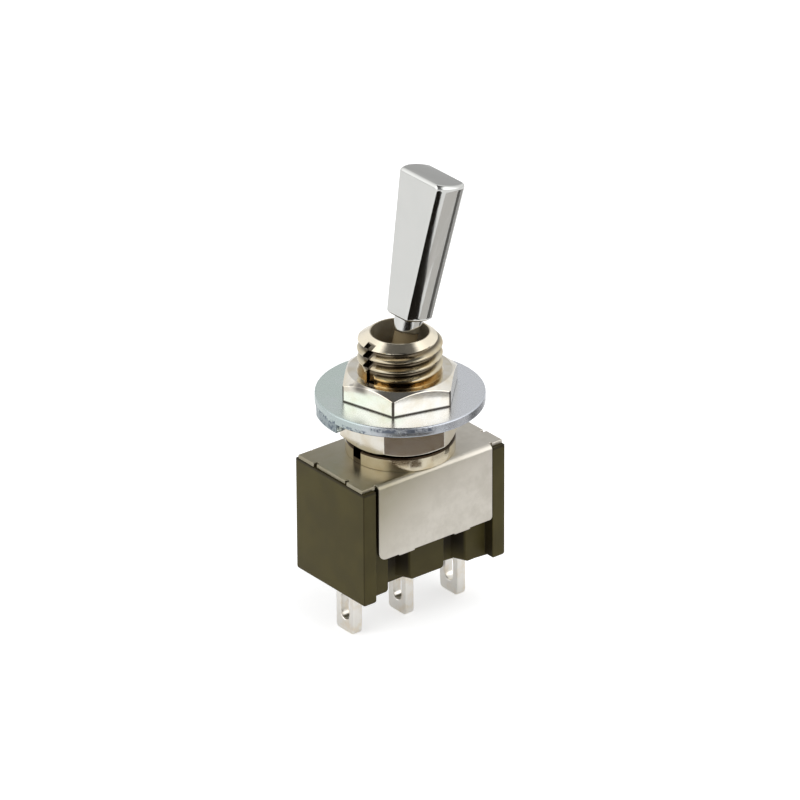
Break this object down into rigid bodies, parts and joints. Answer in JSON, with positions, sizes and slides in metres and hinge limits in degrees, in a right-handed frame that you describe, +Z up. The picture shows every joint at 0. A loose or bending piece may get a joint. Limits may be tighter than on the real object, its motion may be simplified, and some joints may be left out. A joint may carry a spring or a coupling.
{
  "type": "panel toggle switch",
  "caption": "Miniature panel toggle switch: flat tapered lever, threaded bushing with nuts and locking ring, steel frame clinched on an olive moulded case, three solder lugs.",
  "frame": {"origin": "on the bushing's axis, level with the top face of the upper nut, where the bare thread begins", "axes": "+Z up the bushing, towards the lever; X along the row of solder lugs, in the plane in which the lever swings, with the lever leaning towards +X at rest; Y across the case, along the hinge pin"},
  "size_m": [0.0126, 0.012, 0.0334],
  "materials": {
    "olive_case": "satin moulded, dark olive",
    "frame_steel": "satin, plain sheet",
    "bushing_nickel": "polished warm nickel plate on brass",
    "nut_nickel": "polished nickel plate on brass",
    "washer_nickel": "bright nickel plate",
    "zinc_steel": "bright zinc plate, bluish",
    "lever_chrome": "polished chrome plate on brass",
    "pin_steel": "ground",
    "plunger_nylon": "moulded nylon",
    "spring_steel": "bright wire",
    "rocker_bronze": "bare phosphor bronze",
    "contact_silver": "silver",
    "terminal_silver": "silver plate on brass",
    "sealing_resin": "cured resin"
  },
  "bodies": {
    "housing": {"case": "olive_case", "frame": "frame_steel", "bushing": "bushing_nickel", "pivot_pin": "pin_steel", "fixed_contact_left": "contact_silver", "fixed_contact_right": "contact_silver", "terminal_left": "terminal_silver", "terminal_right": "terminal_silver", "terminal_common": "terminal_silver", "seal_left": "sealing_resin", "seal_common": "sealing_resin", "seal_right": "sealing_resin", "lower_nut": "nut_nickel", "lock_washer": "washer_nickel", "locking_ring": "zinc_steel", "upper_nut": "nut_nickel"},
    "lever": {"lever": "lever_chrome", "plunger_spring": "spring_steel"},
    "plunger": {"plunger": "plunger_nylon"},
    "rocker": {"rocker_contact": "rocker_bronze", "rocker_tip_left": "contact_silver", "rocker_tip_right": "contact_silver"}
  },
  "joints": [
    {"name": "lever_swing", "type": "hinge", "parent": "housing", "child": "lever", "pos_m": [0, 0, -0.00005], "axis": [0, 1, 0], "range_deg": [-24, 0]},
    {"name": "plunger_slide", "type": "slide", "parent": "lever", "child": "plunger", "axis": [0.2079, 0, 0.9781], "range_m": [0, 0.0004], "stiffness_N_per_m": 300, "springref_m": -0.001, "deforming": ["plunger_spring"]},
    {"name": "rocker_tilt", "type": "hinge", "parent": "housing", "child": "rocker", "pos_m": [0, 0, -0.00976], "axis": [0, 1, 0], "range_deg": [0, 16]}
  ],
  "couplings": [
    {"joint": "rocker_tilt", "follows": "lever_swing", "ratio": -0.6666}
  ]
}
